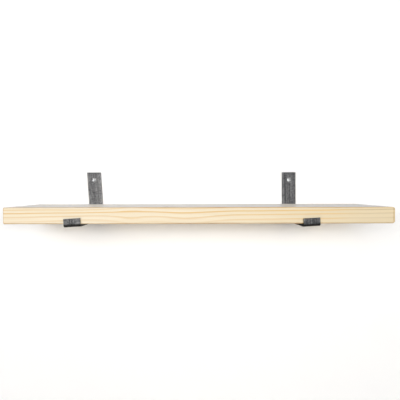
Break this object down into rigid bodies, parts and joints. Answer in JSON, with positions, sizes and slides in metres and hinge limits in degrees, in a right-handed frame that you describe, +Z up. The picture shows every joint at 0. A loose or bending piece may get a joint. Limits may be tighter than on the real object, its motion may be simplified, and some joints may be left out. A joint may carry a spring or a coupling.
{
  "type": "wall shelf",
  "caption": "Solid softwood wall shelf carried on bent flat-bar steel brackets with raised uprights and front lips, with its wall and board screws.",
  "frame": {"origin": "in the wall plane, at the middle of the board's length, level with the board's top face", "axes": "+X along the board to the right as seen from the room, +Y into the wall, +Z up"},
  "size_m": [0.9, 0.2806, 0.1354],
  "materials": {
    "pine": "planed pale pine, matt clear coat",
    "raw_steel": "raw hot-rolled steel with mill scale, satin",
    "zinc": "bright zinc plate",
    "nylon": "moulded nylon"
  },
  "bodies": {
    "root": {"board": "pine", "left_bracket": "raw_steel", "right_bracket": "raw_steel", "left_wall_screw": "zinc", "right_wall_screw": "zinc", "left_wall_plug": "nylon", "right_wall_plug": "nylon", "left_front_board_screw": "zinc", "left_rear_board_screw": "zinc", "right_front_board_screw": "zinc", "right_rear_board_screw": "zinc"}
  },
  "joints": []
}
